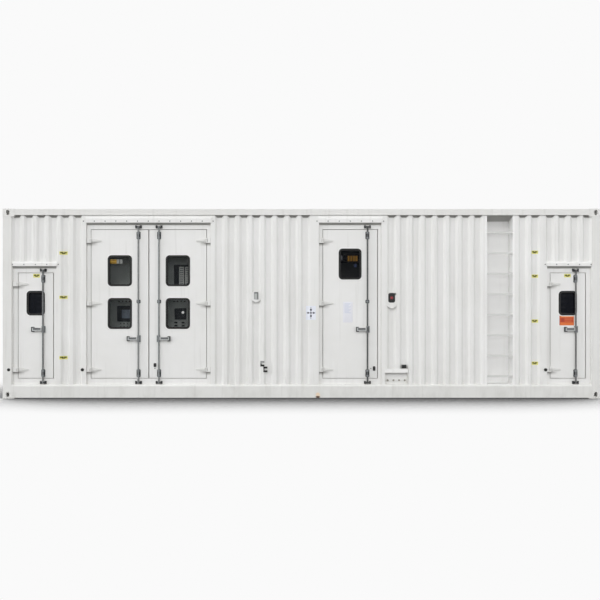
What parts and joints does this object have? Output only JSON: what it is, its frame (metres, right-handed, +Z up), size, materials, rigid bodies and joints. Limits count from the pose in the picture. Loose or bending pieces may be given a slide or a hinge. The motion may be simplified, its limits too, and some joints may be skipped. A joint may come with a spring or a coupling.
{
  "type": "containerized diesel generator set",
  "caption": "White container housing for a diesel generator set, with hinged doors on lock rods, windows, recessed ladder and louvred ends.",
  "frame": {"origin": "on the ground under the middle of the container", "axes": "+X to the right along the doors, -Y out of the side with the doors, +Z up"},
  "size_m": [9.125, 2.438, 2.896],
  "materials": {
    "shell_paint": "satin white enamel",
    "frame_paint": "satin white enamel",
    "floor_plate": "worn grey paint on tread plate",
    "cabinet_paint": "grey powder coat",
    "galvanized_fittings": "dull galvanized steel",
    "window_rubber": "matt black rubber",
    "window_glass": "tinted toughened glass",
    "black_plastic": "matt black plastic",
    "red_plastic": "glossy red plastic",
    "black_rubber": "black rubber"
  },
  "bodies": {
    "root": {"base_rails": "frame_paint", "cross_members": "frame_paint", "floor": "floor_plate", "corner_posts": "frame_paint", "corner_castings": "frame_paint", "top_rails": "frame_paint", "roof": "shell_paint", "main_panels": "shell_paint", "service_bay_panels": "shell_paint", "left_service_frame": "shell_paint", "control_frame": "shell_paint", "personnel_frame": "shell_paint", "right_service_frame": "shell_paint", "drip_caps": "shell_paint", "lock_keepers": "galvanized_fittings", "ladder_tray": "shell_paint", "ladder_rungs": "shell_paint", "back_wall": "shell_paint", "end_walls": "shell_paint", "end_louvres": "shell_paint", "cabinets": "cabinet_paint", "emergency_stop_box": "black_plastic", "wall_covers": "shell_paint", "wall_fittings": "black_rubber"},
    "left_service_door": {"left_service_door": "shell_paint", "left_service_gasket": "window_rubber", "left_service_pane": "window_glass"},
    "control_door_left": {"control_door_left": "shell_paint", "control_gaskets_left": "window_rubber", "control_panes_left": "window_glass"},
    "control_door_right": {"control_door_right": "shell_paint", "control_gaskets_right": "window_rubber", "control_panes_right": "window_glass"},
    "personnel_door": {"personnel_door": "shell_paint", "personnel_gasket": "window_rubber", "personnel_pane": "window_glass"},
    "right_service_door": {"right_service_door": "shell_paint", "right_service_gasket": "window_rubber", "right_service_pane": "window_glass"},
    "left_service_lock_rod": {"left_service_lock_rod": "galvanized_fittings"},
    "control_lock_rod_left": {"control_lock_rod_left": "galvanized_fittings"},
    "control_lock_rod_right": {"control_lock_rod_right": "galvanized_fittings"},
    "personnel_lock_rod": {"personnel_lock_rod": "galvanized_fittings"},
    "right_service_lock_rod": {"right_service_lock_rod": "galvanized_fittings"},
    "emergency_stop_button": {"emergency_stop_button": "red_plastic"}
  },
  "joints": [
    {"name": "left_service_door_hinge", "type": "hinge", "parent": "root", "child": "left_service_door", "pos_m": [-4.3425, -1.184, 0], "axis": [0, 0, -1], "range_deg": [0, 115]},
    {"name": "control_door_left_hinge", "type": "hinge", "parent": "root", "child": "control_door_left", "pos_m": [-3.226, -1.184, 0], "axis": [0, 0, -1], "range_deg": [0, 115]},
    {"name": "control_door_right_hinge", "type": "hinge", "parent": "root", "child": "control_door_right", "pos_m": [-1.456, -1.184, 0], "axis": [0, 0, 1], "range_deg": [0, 115]},
    {"name": "personnel_door_hinge", "type": "hinge", "parent": "root", "child": "personnel_door", "pos_m": [0.3215, -1.184, 0], "axis": [0, 0, -1], "range_deg": [0, 115]},
    {"name": "right_service_door_hinge", "type": "hinge", "parent": "root", "child": "right_service_door", "pos_m": [3.8025, -1.184, 0], "axis": [0, 0, -1], "range_deg": [0, 115]},
    {"name": "left_service_lock_rod_turn", "type": "hinge", "parent": "left_service_door", "child": "left_service_lock_rod", "pos_m": [-3.9565, -1.194, 0], "axis": [0, 0, 1], "range_deg": [0, 100]},
    {"name": "control_lock_rod_left_turn", "type": "hinge", "parent": "control_door_left", "child": "control_lock_rod_left", "pos_m": [-2.498, -1.194, 0], "axis": [0, 0, 1], "range_deg": [0, 100]},
    {"name": "control_lock_rod_right_turn", "type": "hinge", "parent": "control_door_right", "child": "control_lock_rod_right", "pos_m": [-2.184, -1.194, 0], "axis": [0, 0, -1], "range_deg": [0, 100]},
    {"name": "personnel_lock_rod_turn", "type": "hinge", "parent": "personnel_door", "child": "personnel_lock_rod", "pos_m": [1.0045, -1.194, 0], "axis": [0, 0, 1], "range_deg": [0, 100]},
    {"name": "right_service_lock_rod_turn", "type": "hinge", "parent": "right_service_door", "child": "right_service_lock_rod", "pos_m": [4.1885, -1.194, 0], "axis": [0, 0, 1], "range_deg": [0, 100]},
    {"name": "emergency_stop_push", "type": "slide", "parent": "root", "child": "emergency_stop_button", "axis": [0, 1, 0], "range_m": [0, 0.006]}
  ]
}
